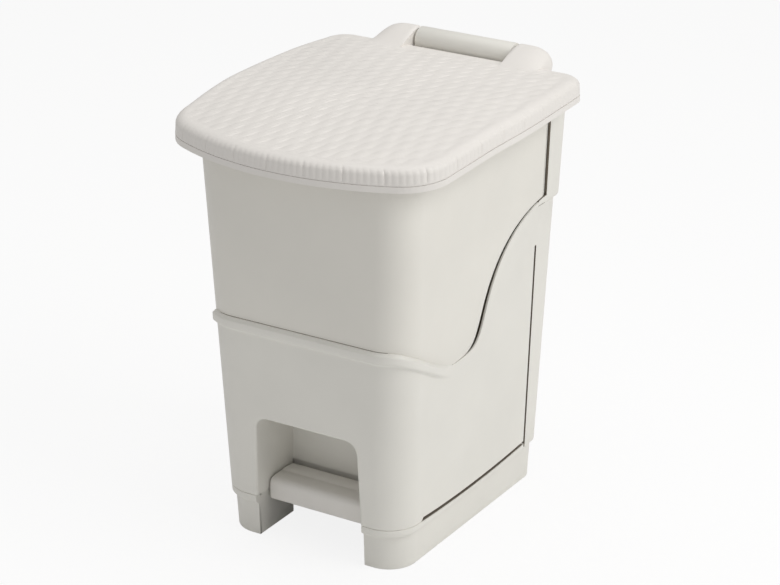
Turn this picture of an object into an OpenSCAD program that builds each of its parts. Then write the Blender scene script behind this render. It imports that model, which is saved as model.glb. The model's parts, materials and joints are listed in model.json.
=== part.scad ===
// Pedal nappy bin with a lift-out bucket and a basket-weave lid.
// Millimetres, +Z up, the pedal faces -Y, the origin is on the floor under the middle.

/* [Casing] */
// Width of the casing at the floor
base_w = 212; // [196:1:236]
// Reach of the casing in front of the design centre at the floor
base_front = 137; // [130:1:146]
// Reach of the casing behind the design centre at the floor
base_rear = 140; // [137:1:148]
// Flare of each side per unit of height
flare_side = 0.0385; // [0.02:0.0005:0.05]
// Flare of the front per unit of height
flare_front = 0.0455; // [0.02:0.0005:0.06]
// Flare of the back per unit of height
flare_rear = 0.0415; // [0.03:0.0005:0.055]
// Radius of the front corners
front_r = 34; // [24:1:42]
// Radius of the back corners
rear_r = 20; // [14:1:26]
// Wall of every moulding
wall = 2.6; // [2:0.1:3.2]
// Clearance between nested mouldings
nest_gap = 4; // [3:0.1:5]

/* [Base] */
// Height of the base under the front shell
base_h = 46; // [42:1:50]
// Set-back of the foot ring under the shoulder
foot_inset = 4; // [2:0.5:5]
// Height of the foot ring
foot_h = 36; // [30:1:38]
// Rise of the sloped shoulder
shoulder_h = 3; // [1:0.5:4]
// Height of the locating upstand above the base
upstand_h = 6.5; // [5:0.5:8]

/* [Front shell] */
// Height of the level lip across the front
lip_z = 240; // [225:1:255]
// Height of the lip band
lip_h = 14; // [10:1:18]
// How far the lip band stands out
lip_out = 4; // [2:0.5:5]
// Height of the low point of the curved edge on the sides
dip_z = 197.5; // [190:0.5:205]
// Height of the top of the curved edge
kink_z = 318.5; // [305:0.5:326]
// Width of the curved gap beside the bucket
curve_gap = 3.4; // [1.5:0.1:4]
// Width of the straight slits along the base and the column
slit = 3.4; // [1.5:0.1:4]
// Height where the upright slit ends
slit_top_z = 270; // [240:1:300]

/* [Pedal niche] */
// Width of the niche at the base
niche_w = 124; // [110:1:130]
// Width of the niche at its top corners
niche_top_w = 117; // [104:1:123]
// Height of the niche
niche_h = 135; // [120:1:150]
// Radius of the niche's upper corners
niche_r = 13; // [8:1:18]
// Depth of the niche from the front at the floor
niche_d = 62; // [56:1:66]

/* [Column] */
// Depth of the column's sides at the slit
column_side_y = 107; // [104:1:110]
// Front of the upper housing
column_front_y = 123; // [120:1:126]
// Height where the deeper upper housing starts
housing_z = 312; // [300:1:330]
// How much deeper the upper housing is
housing_out = 10.5; // [8:0.5:14]
// Height of the column's roof
roof_z = 406; // [402:1:408]
// Height of the column's lower edge
skirt_z = 42; // [40:1:45]

/* [Bucket] */
// Height of the bucket's rim
rim_z = 427; // [420:1:428]
// Height of the rolled rim
rim_h = 8; // [5:1:10]
// How far the rolled rim stands out
rim_out = 4; // [2:0.5:5]
// Rear of the bucket at its floor
bucket_heel_y = 110; // [100:1:112]

/* [Lid] */
// Half width of the lid
lid_half_w = 150; // [144:1:158]
// Front of the lid at its middle
lid_front_y = 193; // [186:1:200]
// Radius of the lid's bowed front edge
lid_bow_r = 280; // [240:5:400]
// Rear edge of the lid
lid_rear_y = 152; // [146:0.5:152]
// Radius of the lid's front corners
lid_front_r = 52; // [40:1:60]
// Radius of the lid's back corners
lid_rear_r = 26; // [15:1:40]
// Height of the lid's lower edge
lid_z = 412; // [410:1:414]
// Height of the smooth lower lip
lid_lip_h = 6; // [4:0.5:8]
// Height of the woven rim above the lip
lid_rim_h = 17; // [12:0.5:20]
// Rise of the crown above the rim
lid_crown = 5; // [3:0.5:8]
// How far the lid's sides bow out past its front corners
lid_side_bow = 7; // [0:0.5:10]
// Rise of the arched lid between its front and its middle
lid_arch = 9.5; // [4:0.5:12]
// How much of that rise the lid loses again towards its back
lid_arch_back = 2.5; // [0:0.5:5]

/* [Hinge] */
// Distance of the hinge line behind the design centre
hinge_y = 166; // [165.5:0.5:168]
// Height of the hinge line
hinge_z = 443; // [441:0.5:446]
// Radius of the barrel and the lugs
barrel_r = 13; // [11:0.5:13]
// Half length of the fixed barrel
barrel_half = 56; // [45:1:62]
// Length of each lug
lug_l = 40; // [30:1:46]
// Gap between barrel and lug
lug_gap = 2; // [1:0.1:3]
// Radius of the hinge pins
pin_r = 3; // [2.5:0.1:4]
// Length of each hinge pin
pin_l = 44; // [36:1:50]
// Running clearance on every pin and rod
run_gap = 0.05; // [0.02:0.01:0.08]

/* [Pedal and rod] */
// Height of the tread's top
tread_z = 60; // [56:1:64]
// Height of the tread's front face
tread_h = 24; // [18:1:26]
// Front of the tread
tread_front_y = 120; // [112:1:126]
// Side clearance of the tread in the niche
tread_gap = 1.2; // [0.8:0.1:3]
// Place of the pedal pivot in front of the design centre
pivot_front = 9; // [4:1:14]
// Height of the pedal pivot
pivot_z = 24; // [22:1:26]
// Radius of the pedal pivot pin
pivot_r = 3; // [2.5:0.1:4]
// Width of the pedal lever
lever_w = 22; // [16:1:26]
// Thickness of the pedal lever
lever_t = 8; // [6:0.5:9]
// Radius of the lift rod
rod_r = 2.5; // [2:0.1:3]
// Distance of the lower rod behind the design centre
rod_y = 127; // [127:0.5:128]
// Distance of the upper rod behind the design centre
rod_top_y = 144.5; // [143:0.5:146]
// Idle play between the pedal lever and the rod's foot
play = 0.4; // [0.3:0.05:0.8]
// Idle play between the rod's head and the lid's crank
head_play = 1.3; // [1.2:0.1:2]
// Length of the lid's crank from the hinge line
crank = 26; // [24:0.5:27]

/* [Fasteners] */
// Radius of the screw shank
screw_r = 1.5; // [1.2:0.1:2]
// Radius of the screw head
head_r = 3.4; // [2.8:0.1:4]
// Height of the screw head
head_h = 2; // [1.5:0.1:3]
// Length of the screw shank
screw_l = 11; // [9:0.5:14]

/* [Hidden] */
$fn = 48;
eps = 0.01;
far = 400;

ivory = [0.90, 0.89, 0.86];
ivory_light = [0.93, 0.92, 0.90];
steel = [0.70, 0.71, 0.72];
grey_plastic = [0.62, 0.63, 0.62];

// Plan of the casing
centre_y = (lid_front_y - hinge_y - barrel_r) / 2;
function half_x(z) = base_w / 2 + flare_side * z;
function front_y(z) = -(base_front + flare_front * z);
function rear_y(z) = base_rear + flare_rear * z;

// Heights that follow from the sizes above
base_top = base_h + upstand_h;
nest = wall + nest_gap;
niche_back_y = -(base_front - niche_d);
bucket_floor = base_top + 0.3;
bucket_rear_y = column_front_y - curve_gap - 1;
bucket_rear_r = 5;
edge_rise_gap = 0.8;
cover_y = bucket_rear_y + 1.8;
niche_roof = niche_h + wall;
lip_reach = 46;

// Curved edge of the shell, seen from the side as depth and height
rise_y = 6;
rise_z = (dip_z + kink_z) / 2 - 22;
kink_y = column_front_y - curve_gap - 2.4;
lip_start_y = front_y(lip_z) + 2;
function bez(a, b, c, d, t) =
    pow(1 - t, 3) * a + 3 * pow(1 - t, 2) * t * b + 3 * (1 - t) * t * t * c + t * t * t * d;
bez_steps = 14;
dip_start = [-lip_reach - 6, dip_z];
rise_mid = [rise_y, rise_z];
edge_front = [for (i = [0:bez_steps]) bez([lip_start_y, lip_z],
    [lip_start_y + 26, lip_z - 11], [dip_start[0] - 28, dip_z + 3], dip_start, i / bez_steps)];
edge_dip = [for (i = [1:bez_steps]) bez(dip_start, [dip_start[0] + 42, dip_z],
    [rise_y - 14, dip_z + 2.5], rise_mid, i / bez_steps)];
edge_rise = [for (i = [1:bez_steps]) bez(rise_mid, [rise_y + 22, rise_z + 55],
    [kink_y - 47, kink_z - 6], [kink_y, kink_z], i / bez_steps)];
edge = concat([[-far, lip_z]], edge_front, edge_dip, edge_rise);

// Hinge, lever and rod
lid_top_z = lid_z + lid_lip_h + lid_rim_h;
lever_pad_r = 3;
crank_angle = 45;
crank_y = hinge_y - crank * cos(crank_angle);
crank_z = hinge_z - crank * sin(crank_angle);
head_top = crank_z - lever_pad_r - head_play;
head_plate_h = 6;
toe_z = pivot_z - 9;
foot_z = toe_z + lever_t / 2 + play;
foot_r = 3.8;
foot_h_rod = 14;
jog_z = housing_z + 18;
jog_h = 20;
lug_start = barrel_half + lug_gap;
tray_plate_z = lid_top_z - 7;
tray_wall = 2;
lid_skin = 2.4;
tray_inset = lid_skin + 2.8;
tray_step = 5;
tray_step_h = 3;
crank_w = 12;
lid_screw_l = 7;
boss_r = 4.5;
boss_gap = 0.02;

module placed() translate([0, centre_y, 0]) children();

// One thin slice of the casing's plan at height z, drawn in by inset
module slice(z, inset, back = 0, back_y = 0, back_r = 0) {
    by = back_y > 0 ? back_y : rear_y(z) + back;
    br = max((back_r > 0 ? back_r : rear_r) - inset, 1);
    for (s = [-1, 1]) {
        translate([s * (half_x(z) - front_r), front_y(z) + front_r, z])
            cylinder(r = front_r - inset, h = eps);
        translate([s * (half_x(z) - inset - br), by - inset - br, z])
            cylinder(r = br, h = eps);
    }
}

// Tapered block between two heights
module taper(z0, z1, inset, back = 0) {
    hull() {
        slice(z0, inset, back);
        slice(z1 - eps, inset, back);
    }
}

// Prism across the whole width from an outline given as depth and height
module side_prism(points, half = far) {
    rotate([90, 0, 90])
        translate([0, 0, -half])
        linear_extrude(2 * half)
        polygon(points);
}

// Everything above the shell's curved edge, moved by a gap
module above_edge(dy = 0, dz = 0, end_y = column_front_y) {
    top = 2 * far;
    side_prism(concat([for (p = edge) [p[0] + dy, p[1] + dz]],
        [[end_y, kink_z + dz], [end_y, top], [-far, top]]));
}

// Rounded niche opening, drawn in or out by grow, from the front back to depth y1
niche_root = -10;
function niche_half(z) = niche_w / 2 - (niche_w - niche_top_w) / 2 *
    (z - niche_root) / (niche_h - niche_r - niche_root);
module niche_block(y1, grow, z0) {
    top = niche_h + grow;
    r = niche_r + grow;
    translate([0, y1, 0]) rotate([90, 0, 0]) hull() {
        for (s = [-1, 1]) {
            translate([s * (niche_top_w / 2 + grow - r), top - r, 0]) cylinder(r = r, h = far);
            translate([s * (niche_w / 2 + grow - 1), z0 + 1, 0]) cylinder(r = 1, h = far);
        }
    }
}

// Screw along -Z with its head's underside at the origin
module screw() {
    translate([0, 0, -screw_l]) cylinder(r = screw_r, h = screw_l);
    cylinder(r = head_r, h = head_h);
}

// Pilot hole for that screw
module pilot() {
    translate([0, 0, -screw_l - 1]) cylinder(r = screw_r + boss_gap, h = screw_l + 3);
}

// Places of the screws, seen from above
column_screws = [[-72, rod_y + 1], [-30, rod_y + 1], [30, rod_y + 1], [72, rod_y + 1]];
hinge_screws = [[-42, hinge_y - 16], [-20, hinge_y - 16], [20, hinge_y - 16], [42, hinge_y - 16]];
flange_t = 3;

// Base under the casing: foot ring, shoulder, deck and the pedal's bearings
bearing_x = lever_w / 2 + 4;
bearing_w = 10;
pivot_y = -pivot_front;
module base_frame() {
    color(ivory) placed() difference() {
        union() {
            difference() {
                union() {
                    taper(0, base_h, foot_inset);
                    difference() {
                        hull() {
                            slice(foot_h, foot_inset);
                            slice(foot_h + shoulder_h, 0);
                            slice(base_h - eps, 0);
                        }
                        translate([-far, column_side_y, 0]) cube([2 * far, far, far]);
                    }
                    taper(base_h - 1, base_top, nest);
                }
                taper(-1, base_h - wall, foot_inset + wall);
                taper(base_h - wall - 1, base_top - wall, nest + wall);
                translate([-niche_w / 2, -far, -1])
                    cube([niche_w, far + niche_back_y + wall, 2 * base_top]);
                translate([-niche_w / 2 - nest, -far, base_h])
                    cube([niche_w + 2 * nest, far + niche_back_y + nest, base_top]);
            }
            intersection() {
                for (s = [-1, 1])
                    translate([s > 0 ? niche_w / 2 : -niche_w / 2 - wall, front_y(0) - 8, 0])
                        cube([wall, niche_d + 4, base_h]);
                taper(0, base_h, foot_inset + 0.5);
            }
            for (p = column_screws)
                translate([p[0], p[1], base_top - 22]) cylinder(r = boss_r, h = 22);
            for (s = [-1, 1]) {
                translate([s * (bearing_x + bearing_w / 2) - bearing_w / 2, pivot_y - 12, pivot_z])
                    cube([bearing_w, 24, base_top - wall - pivot_z + 0.5]);
            }
        }
        translate([0, pivot_y, pivot_z]) rotate([0, 90, 0])
            cylinder(r = pivot_r + run_gap, h = 4 * lever_w, center = true);
        for (s = [-1, 1]) for (d = [-8, 8])
            translate([s * (bearing_x + bearing_w / 2), pivot_y + d, pivot_z - 6])
                rotate([180, 0, 0]) pilot();
        for (p = column_screws) translate([p[0], p[1], base_top + flange_t]) pilot();
        translate([-lever_w / 2 - 6, column_side_y + 2, -1])
            cube([lever_w + 12, rod_y + 7 - column_side_y - 2, 2 * base_top]);
    }
}

// Half bearing that closes the pedal pivot from below
module pivot_cap() {
    cap_h = 6;
    difference() {
        translate([0, -12, -cap_h]) cube([bearing_w, 24, cap_h]);
        translate([-1, 0, 0]) rotate([0, 90, 0]) cylinder(r = pivot_r + run_gap, h = bearing_w + 2);
        for (d = [-8, 8]) translate([bearing_w / 2, d, -cap_h]) rotate([180, 0, 0]) pilot();
    }
}
module pivot_cap_left() {
    color(grey_plastic) placed() translate([-bearing_x - bearing_w, pivot_y, pivot_z]) pivot_cap();
}
module pivot_cap_right() {
    color(grey_plastic) placed() translate([bearing_x, pivot_y, pivot_z]) pivot_cap();
}
module pivot_pin() {
    l = 2 * (bearing_x + bearing_w);
    color(steel) placed() translate([-l / 2, pivot_y, pivot_z])
        rotate([0, 90, 0]) cylinder(r = pivot_r, h = l);
}

// Front shell: wrap with the niche, the curved edge and the lip band
module front_shell() {
    color(ivory) placed() difference() {
        union() {
            difference() {
                taper(base_h, kink_z + 1, 0);
                taper(base_h - 1, kink_z + 2, wall);
            }
            intersection() {
                difference() {
                    taper(dip_z - 60, lip_z + 2, -lip_out);
                    taper(dip_z - 61, lip_z + 3, 1);
                    below_band();
                }
                linear_extrude(far) band_plan();
            }
            intersection() {
                difference() {
                    niche_block(niche_back_y + wall, wall, base_h + slit);
                    niche_block(niche_back_y, 0, niche_root);
                }
                taper(base_h, niche_roof + 5, 0.5);
            }
        }
        above_edge();
        niche_block(niche_back_y, 0, niche_root);
        translate([-niche_w / 2, niche_back_y - 5, 0]) cube([niche_w, 15, tread_z + 2]);
        translate([-far, column_side_y, 0]) cube([2 * far, far, far]);
        translate([-far, column_side_y - slit, 0]) cube([2 * far, far, slit_top_z]);
        translate([-far, front_y(base_h) + front_r, base_h - 1]) cube([2 * far, far, slit + 1]);
        translate([-niche_w / 2 - wall - 1, front_y(base_h) + wall, base_h - 1])
            cube([niche_w + 2 * wall + 2, niche_d, slit + 1]);
    }
}

// Plan that fades the lip band into the sides
module band_plan() {
    w = half_x(dip_z - lip_h / 2);
    x1 = w + 2 * lip_out;
    x2 = w + lip_out + 0.5;
    polygon([[-x1, -far], [x1, -far], [x2, -lip_reach - 54], [w - 0.3, -lip_reach + 4],
        [-w + 0.3, -lip_reach + 4], [-x2, -lip_reach - 54]]);
}

// Everything below the lip band
module below_band() {
    side_prism(concat([for (p = edge) [p[0], p[1] - lip_h]], [[far, -10], [-far, -10]]));
}

// Rear column: tall housing for the lift rod, deeper in its upper part
module rear_column() {
    color(ivory) placed() difference() {
        union() {
            difference() {
                union() {
                    taper(skirt_z, roof_z, 0);
                    taper(housing_z, roof_z, 0, housing_out);
                }
                taper(skirt_z - 1, roof_z - 4, wall);
                taper(housing_z + wall, roof_z - 4, wall, housing_out);
                translate([-far, -far, 0]) cube([2 * far, far + column_side_y, far + 100]);
                above_edge();
            }
            intersection() {
                translate([-far, cover_y - 1, base_top]) cube([2 * far, far, flange_t]);
                taper(skirt_z, roof_z, wall - 0.5);
            }
            for (z = guide_heights) for (s = [-1, 1])
                translate([s * guide_screw_x, rear_y(z), z]) rotate([90, 0, 0])
                    cylinder(r = boss_r, h = rear_y(z) - guide_face_y);
            for (p = hinge_screws)
                translate([p[0], p[1], roof_z - 12]) cylinder(r = boss_r, h = 12);
        }
        for (p = column_screws) translate([p[0], p[1], base_top + flange_t]) pilot();
        for (p = hinge_screws) translate([p[0], p[1], roof_z + flange_t]) pilot();
        for (z = guide_heights) for (s = [-1, 1])
            translate([s * guide_screw_x, guide_face_y - guide_tab, z]) rotate([90, 0, 0]) pilot();
        translate([0, rod_y, base_top - 1]) cylinder(r = foot_r + 1.5, h = 10);
        translate([0, rod_top_y, roof_z - 10]) cylinder(r = rod_r + run_gap, h = 20);
        trim_behind_column();
    }
}

// What lies behind the column's outer skin
module trim_behind_column() {
    difference() {
        translate([-far, 0, 0]) cube([2 * far, far, far + 100]);
        translate([-far, -far, -1]) cube([2 * far, 3 * far, skirt_z + 1]);
        taper(skirt_z, roof_z, 0);
        taper(housing_z, roof_z, 0, housing_out);
    }
}

// Rod guides: brackets screwed to bosses on the column's back wall
guide_heights = [94, 290];
guide_screw_x = 16;
guide_face_y = rod_y + rod_r + 3;
guide_tab = 3;
guide_h = 12;
module rod_guide(z) {
    difference() {
        union() {
            translate([-guide_screw_x - 6, guide_face_y - guide_tab, z - guide_h / 2])
                cube([2 * guide_screw_x + 12, guide_tab, guide_h]);
            translate([0, rod_y, z - guide_h / 2]) cylinder(r = rod_r + 2, h = guide_h);
            translate([-rod_r - 2, rod_y, z - guide_h / 2])
                cube([2 * rod_r + 4, guide_face_y - rod_y - 0.5, guide_h]);
        }
        translate([0, rod_y, z - guide_h]) cylinder(r = rod_r + run_gap, h = 2 * guide_h);
        for (s = [-1, 1])
            translate([s * guide_screw_x, guide_face_y - guide_tab, z]) rotate([90, 0, 0]) pilot();
    }
}
module rod_guide_lower() {
    color(grey_plastic) placed() rod_guide(guide_heights[0]);
}
module rod_guide_upper() {
    color(grey_plastic) placed() rod_guide(guide_heights[1]);
}

// Thin inner cover that keeps the bucket off the rod
module column_cover() {
    cover_t = 1.4;
    z0 = base_top + flange_t;
    color(ivory) placed() intersection() {
        translate([-far, cover_y, z0]) cube([2 * far, cover_t, roof_z - 4 - z0]);
        taper(skirt_z, roof_z, wall);
    }
}

// Lift-out bucket: flush with the shell above the curved edge, nested inside it below
module bucket_slice(z, inset) {
    heel = bucket_heel_y + (bucket_rear_y - bucket_heel_y) *
        min(1, (z - bucket_floor) / (kink_z - bucket_floor));
    slice(z, inset, 0, heel, bucket_rear_r);
}
module bucket_block(z0, z1, inset) {
    hull() {
        bucket_slice(z0, inset);
        bucket_slice(max(z0, min(kink_z, z1 - eps)), inset);
        bucket_slice(z1 - eps, inset);
    }
}
module bucket_step(grow) {
    translate([-far, -far, 0])
        cube([2 * far, far + niche_back_y + wall + 0.8 + grow, niche_roof + 0.8 + grow]);
}
module bucket() {
    color(ivory) placed() difference() {
        union() {
            difference() {
                bucket_block(bucket_floor, kink_z + 20, nest);
                bucket_step(0);
            }
            intersection() {
                bucket_block(dip_z - 2, rim_z, 0);
                above_edge(-curve_gap, edge_rise_gap, bucket_rear_y + 1);
                above_edge(0, edge_rise_gap, bucket_rear_y + 1);
            }
            difference() {
                bucket_block(rim_z - rim_h, rim_z, -rim_out);
                bucket_block(rim_z - rim_h - 1, rim_z - 2, 1 - rim_out);
            }
        }
        difference() {
            bucket_block(bucket_floor + wall, rim_z + 1, nest + wall);
            bucket_step(wall);
        }
        intersection() {
            bucket_block(dip_z - 2, rim_z + 1, wall);
            above_edge(-curve_gap - wall, edge_rise_gap + wall, bucket_rear_y + 1);
            above_edge(0, edge_rise_gap + wall, bucket_rear_y + 1);
        }
    }
}

// Outline of the lid: bowed front and sides, rounded corners, straight back
lid_arc_steps = 16;
lid_corner_x = lid_half_w - lid_front_r;
lid_bow_y = lid_bow_r - lid_front_y;
lid_corner_y = lid_bow_y - sqrt(pow(lid_bow_r - lid_front_r, 2) - lid_corner_x * lid_corner_x);
lid_corner_a = atan2(lid_bow_y - lid_corner_y, lid_corner_x);
lid_back_x = lid_half_w - 2 - lid_rear_r;
lid_side_y0 = lid_corner_y;
lid_side_y1 = lid_rear_y - lid_rear_r;
function arc(cx, cy, r, a0, a1, n) =
    [for (i = [0:n]) let (a = a0 + (a1 - a0) * i / n) [cx + r * cos(a), cy + r * sin(a)]];
function front_arc(r, n) =
    [for (i = [1:n - 1]) let (a = lid_corner_a - 180 + (180 - 2 * lid_corner_a) * i / n)
        [r * cos(a), lid_bow_y + r * sin(a)]];
function side_bow(y) =
    let (t = min(max((y - lid_side_y0) / (lid_side_y1 - lid_side_y0), -0.2), 1.2))
    lid_side_bow * (1 - pow(2 * t - 1, 2));
function bowed(points) = [for (p = points) [p[0] + sign(p[0]) * max(side_bow(p[1]), 0), p[1]]];
side_steps = 10;
function side_line(s, inset) = [for (i = [1:side_steps - 1]) let (t = i / side_steps)
    [s * (lid_half_w - inset - 2 * t), lid_side_y0 + (lid_side_y1 - lid_side_y0) * t]];
function reversed(list) = [for (i = [len(list) - 1:-1:0]) list[i]];
function lid_outline(inset) = bowed(concat(
    front_arc(lid_bow_r - inset, lid_arc_steps),
    arc(lid_corner_x, lid_corner_y, lid_front_r - inset, -lid_corner_a, 0, 10),
    side_line(1, inset),
    arc(lid_back_x, lid_rear_y - lid_rear_r, max(lid_rear_r - inset, 1), 0, 90, 8),
    arc(-lid_back_x, lid_rear_y - lid_rear_r, max(lid_rear_r - inset, 1), 90, 180, 8),
    reversed(side_line(-1, inset)),
    arc(-lid_corner_x, lid_corner_y, lid_front_r - inset, 180, 180 + lid_corner_a, 10)));

// The lid's arch: how far it is lifted at depth y
arch_start = -lid_front_y + 18;
arch_full = -30;
arch_back = 60;
function ease(a, b, y) = let (t = min(max((y - a) / (b - a), 0), 1)) t * t * (3 - 2 * t);
function arch(y) = lid_arch * ease(arch_start, arch_full, y)
    - lid_arch_back * ease(arch_back, lid_rear_y, y);

// Solid through levels of [inset, height, share of the outline], each lifted by the arch
mid_y = (lid_rear_y - lid_front_y) / 2;
module lid_loft(levels) {
    rings = [for (l = levels) let (share = len(l) > 2 ? l[2] : 1) [for (p = lid_outline(l[0]))
        let (y = mid_y + (p[1] - mid_y) * share) [p[0] * share, y, l[1] + arch(y)]]];
    n = len(rings[0]);
    m = len(rings);
    points = concat([for (r = rings) each r],
        [[0, mid_y, levels[0][1] + arch(mid_y)], [0, mid_y, levels[m - 1][1] + arch(mid_y)]]);
    polyhedron(points, concat(
        [for (i = [0:m - 2]) for (k = [0:n - 1]) let (j = (k + 1) % n)
            each [[i * n + k, (i + 1) * n + k, i * n + j],
                [i * n + j, (i + 1) * n + k, (i + 1) * n + j]]],
        [for (k = [0:n - 1]) [m * n, k, (k + 1) % n]],
        [for (k = [0:n - 1]) [m * n + 1, (m - 1) * n + (k + 1) % n, (m - 1) * n + k]]));
}

// Woven lid cover with the two hinge lugs
cover_z0 = lid_z + lid_lip_h;
shoulder = 9;
crown_fall = 2.6;
crown_steps = [0.88, 0.74, 0.55, 0.3];
module lid_crown_block(drop) {
    start = drop > 0 ? cover_z0 - 1 : cover_z0;
    lid_loft(concat([[drop, start], [drop, lid_top_z - shoulder - drop / 2],
        [2 + drop, lid_top_z - shoulder / 2 - drop], [shoulder / 2 + drop, lid_top_z - 1.5 - drop],
        [shoulder + drop, lid_top_z - drop]],
        [for (t = crown_steps) [shoulder + drop,
            lid_top_z + lid_crown * (1 - pow(t, crown_fall)) - drop, t]]));
}
rear_lift = arch(lid_rear_y);
lug_web = [[hinge_y, hinge_z + barrel_r], [hinge_y - 9, hinge_z + barrel_r - 3],
    [lid_rear_y - 24, lid_top_z + 2 + rear_lift], [lid_rear_y - 24, lid_top_z - 1 + rear_lift],
    [lid_rear_y - lid_skin, tray_plate_z + tray_wall + 0.8 + rear_lift],
    [lid_rear_y, cover_z0 + 4 + rear_lift], [hinge_y, hinge_z - barrel_r]];
module lug(side) {
    taper_l = 12;
    x0 = lug_start;
    mirror([side > 0 ? 0 : 1, 0, 0]) difference() {
        union() {
            translate([x0, hinge_y, hinge_z]) rotate([0, 90, 0])
                cylinder(r = barrel_r, h = lug_l - taper_l);
            translate([x0 + lug_l - taper_l, hinge_y, hinge_z]) rotate([0, 90, 0])
                cylinder(r1 = barrel_r, r2 = barrel_r - 4, h = taper_l);
            translate([x0, 0, 0]) rotate([90, 0, 90])
                linear_extrude(lug_l - taper_l) polygon(lug_web);
        }
        translate([x0 - 1, hinge_y, hinge_z]) rotate([0, 90, 0])
            cylinder(r = pin_r + run_gap, h = pin_l / 2 + 2);
    }
}
lid_screw_places = [[-95, -95], [95, -95], [-95, 95], [95, 95]];
boss_play = 0.3;
function tray_top(p) = tray_plate_z + tray_wall + arch(p[1] + boss_r);
function screw_seat(p) = tray_plate_z + arch(p[1] - boss_r);
module lid_cover() {
    color(ivory_light) placed() difference() {
        union() {
            difference() {
                lid_crown_block(0);
                lid_crown_block(lid_skin);
            }
            intersection() {
                for (p = lid_screw_places)
                    translate([p[0], p[1], tray_top(p) + boss_play]) cylinder(r = boss_r, h = far);
                lid_crown_block(lid_skin / 2);
            }
            for (side = [-1, 1]) lug(side);
        }
        for (p = lid_screw_places) translate([p[0], p[1], screw_seat(p)])
            cylinder(r = screw_r + boss_gap, h = lid_screw_l + 1);
        barrel_clearance();
        translate([-crank_w / 2 - 1, crank_y - lever_pad_r - 1, cover_z0 - 1])
            cube([crank_w + 2, far, tray_plate_z + 1.5 - cover_z0 + 1]);
    }
}
module barrel_clearance() {
    translate([0, hinge_y, hinge_z]) rotate([0, 90, 0])
        cylinder(r = barrel_r + 0.8, h = 2 * lug_start, center = true);
}

// Tray under the lid: smooth lower lip, plate and the crank that the rod lifts
module tray_block(grow) {
    z0 = lid_z - (grow > 0 ? 1 : 0);
    z1 = tray_plate_z + tray_wall - grow;
    lid_loft([[tray_inset + grow, z0], [tray_inset + grow, z1 - tray_step_h],
        [tray_inset + tray_step + grow, z1]]);
}
crank_root = tray_plate_z + 1 + arch(crank_y);
module lid_tray() {
    color(ivory) placed() difference() {
        union() {
            difference() {
                union() {
                    lid_loft([[0, lid_z], [0, cover_z0]]);
                    tray_block(0);
                }
                tray_block(tray_wall);
                translate([-crank_w / 2 - 3, lid_rear_y - 14, lid_z - 1])
                    cube([crank_w + 6, 20, tray_plate_z - lid_z - 1]);
            }
            translate([-crank_w / 2, 0, 0]) rotate([90, 0, 90]) linear_extrude(crank_w) polygon([
                [crank_y - 12, crank_root], [crank_y - 12, crank_root - 1.5],
                [crank_y - lever_pad_r, crank_z], [crank_y + lever_pad_r, crank_z],
                [crank_y + lever_pad_r, tray_plate_z], [crank_y - 4, crank_root]]);
            translate([0, crank_y, crank_z]) rotate([0, 90, 0])
                cylinder(r = lever_pad_r, h = crank_w, center = true);
        }
        for (p = lid_screw_places) {
            translate([p[0], p[1], tray_plate_z]) cylinder(r = screw_r + boss_gap, h = 4 * lid_screw_l);
            translate([p[0], p[1], screw_seat(p) - lid_screw_l])
                cylinder(r = head_r + run_gap, h = lid_screw_l);
        }
        barrel_clearance();
    }
}
module lid_screws() {
    color(steel) placed() for (p = lid_screw_places) translate([p[0], p[1], screw_seat(p)]) {
        cylinder(r = screw_r, h = lid_screw_l);
        translate([0, 0, -head_h]) cylinder(r = head_r, h = head_h);
    }
}

// Fixed hinge block on the column's roof
neck_t = 12;
plate_reach = 21;
rod_notch_w = 22;
rod_notch_reach = 30;
module hinge_block() {
    color(ivory) placed() difference() {
        union() {
            translate([-barrel_half, hinge_y, hinge_z]) rotate([0, 90, 0])
                cylinder(r = barrel_r, h = 2 * barrel_half);
            translate([-barrel_half, hinge_y - neck_t / 2 - 2, roof_z])
                cube([2 * barrel_half, neck_t, hinge_z - roof_z]);
            translate([-barrel_half, hinge_y - plate_reach, roof_z])
                cube([2 * barrel_half, plate_reach + neck_t / 2 - 4, flange_t]);
        }
        for (s = [-1, 1])
            translate([s * (barrel_half - pin_l / 2 + 5), hinge_y, hinge_z]) rotate([0, 90, 0])
                cylinder(r = pin_r + boss_gap, h = pin_l, center = true);
        translate([-rod_notch_w / 2, hinge_y - rod_notch_reach, roof_z - 1])
            cube([rod_notch_w, rod_notch_reach - neck_t / 2 - 2, rod_notch_reach]);
        for (p = hinge_screws) translate([p[0], p[1], roof_z + flange_t]) pilot();
    }
}
module hinge_pin() {
    translate([barrel_half + lug_gap / 2 - pin_l / 2, hinge_y, hinge_z]) rotate([0, 90, 0])
        cylinder(r = pin_r, h = pin_l);
}
module hinge_pin_left() {
    color(steel) placed() mirror([1, 0, 0]) hinge_pin();
}
module hinge_pin_right() {
    color(steel) placed() hinge_pin();
}

// Pedal tread, clipped over its lever
tread_r = 8;
tread_wall = 2.6;
module tread_profile(inset) {
    f = -tread_front_y + inset;
    b = niche_back_y - 2;
    t = tread_z - inset;
    z0 = tread_z - tread_h - (inset > 0 ? 5 : 0);
    half = niche_half(tread_z) - tread_gap - inset;
    translate([-half, 0, 0]) rotate([90, 0, 90])
        linear_extrude(2 * half) polygon(concat(
            [[f, z0]],
            arc(f + tread_r, t - tread_r, tread_r, 180, 90, 8),
            [[b, t - 1.5], [b, z0 + (inset > 0 ? 0 : 6)]]));
}
tread_screws = [[0, -tread_front_y + 20], [0, niche_back_y - 12]];
module pedal_tread() {
    color(ivory_light) placed() difference() {
        union() {
            difference() {
                tread_profile(0);
                tread_profile(tread_wall);
            }
            for (p = tread_screws)
                translate([p[0], p[1], lever_front_z + lever_t])
                    cylinder(r = boss_r, h = tread_z - tread_wall - 1 - lever_front_z - lever_t + 2);
        }
        for (p = tread_screws) translate([p[0], p[1], lever_front_z + 2])
            cylinder(r = screw_r + boss_gap, h = screw_l + 1);
    }
}

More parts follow.
